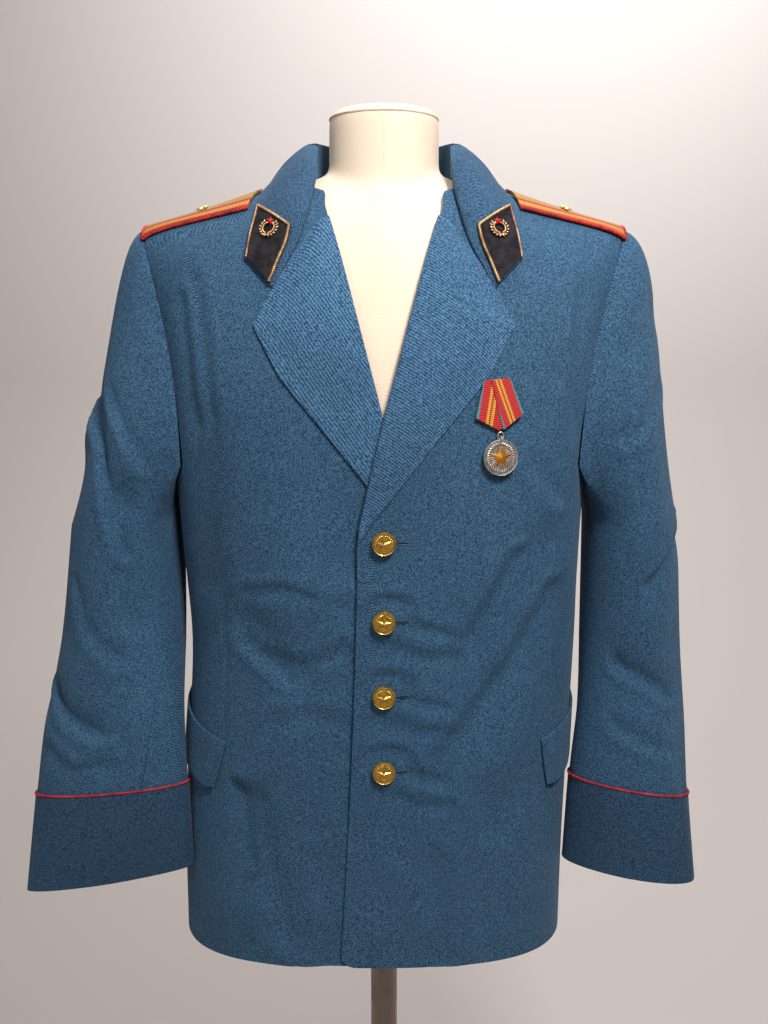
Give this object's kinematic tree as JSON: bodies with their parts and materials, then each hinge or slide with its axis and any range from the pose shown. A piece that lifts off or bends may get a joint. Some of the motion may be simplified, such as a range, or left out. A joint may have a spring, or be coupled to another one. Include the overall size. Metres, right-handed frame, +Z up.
{
  "type": "military uniform jacket on a dress form",
  "caption": "Single-breasted officer's parade jacket with open lapels, shoulder boards and a pinned medal, shown on a limbless dress form with a pole stand.",
  "frame": {"origin": "middle of the round base's underside, on the floor", "axes": "+Z up; the jacket's front faces -Y; the wearer's left is at +X"},
  "size_m": [0.6871, 0.35, 1.522],
  "materials": {
    "cloth": "matt wool twill, blue-green",
    "velvet": "matt velvet",
    "galloon": "woven metallic braid",
    "ribbon": "ribbed silk ribbon",
    "gilt": "stamped, gilt",
    "silver": "struck metal, worn",
    "form": "stretched jersey cover",
    "steel": "satin brown-grey"
  },
  "bodies": {
    "jacket_on_form": {"front_left": "cloth", "front_right": "cloth", "back_left": "cloth", "back_right": "cloth", "lapel_left": "cloth", "lapel_right": "cloth", "collar": "cloth", "collar_stand": "cloth", "sleeve_top_left": "cloth", "sleeve_top_right": "cloth", "sleeve_under_left": "cloth", "sleeve_under_right": "cloth", "cuff_left": "cloth", "cuff_right": "cloth", "flap_left": "cloth", "flap_right": "cloth", "button_1": "gilt", "button_2": "gilt", "button_3": "gilt", "button_4": "gilt", "board_left": "galloon", "board_right": "galloon", "board_star_left": "gilt", "board_star_right": "gilt", "tab_left": "velvet", "tab_right": "velvet", "tab_emblem_left": "gilt", "tab_emblem_right": "gilt", "medal_bar": "ribbon", "dress_form": "form", "stand_pole": "steel", "stand_base": "steel"},
    "medal_pendant": {"medal": "silver"}
  },
  "joints": [
    {"name": "medal_swing", "type": "hinge", "parent": "jacket_on_form", "child": "medal_pendant", "pos_m": [0.1048, -0.1231, 1.2246], "axis": [0.2374, -0.9692, 0.0655], "range_deg": [-30, 30]}
  ]
}
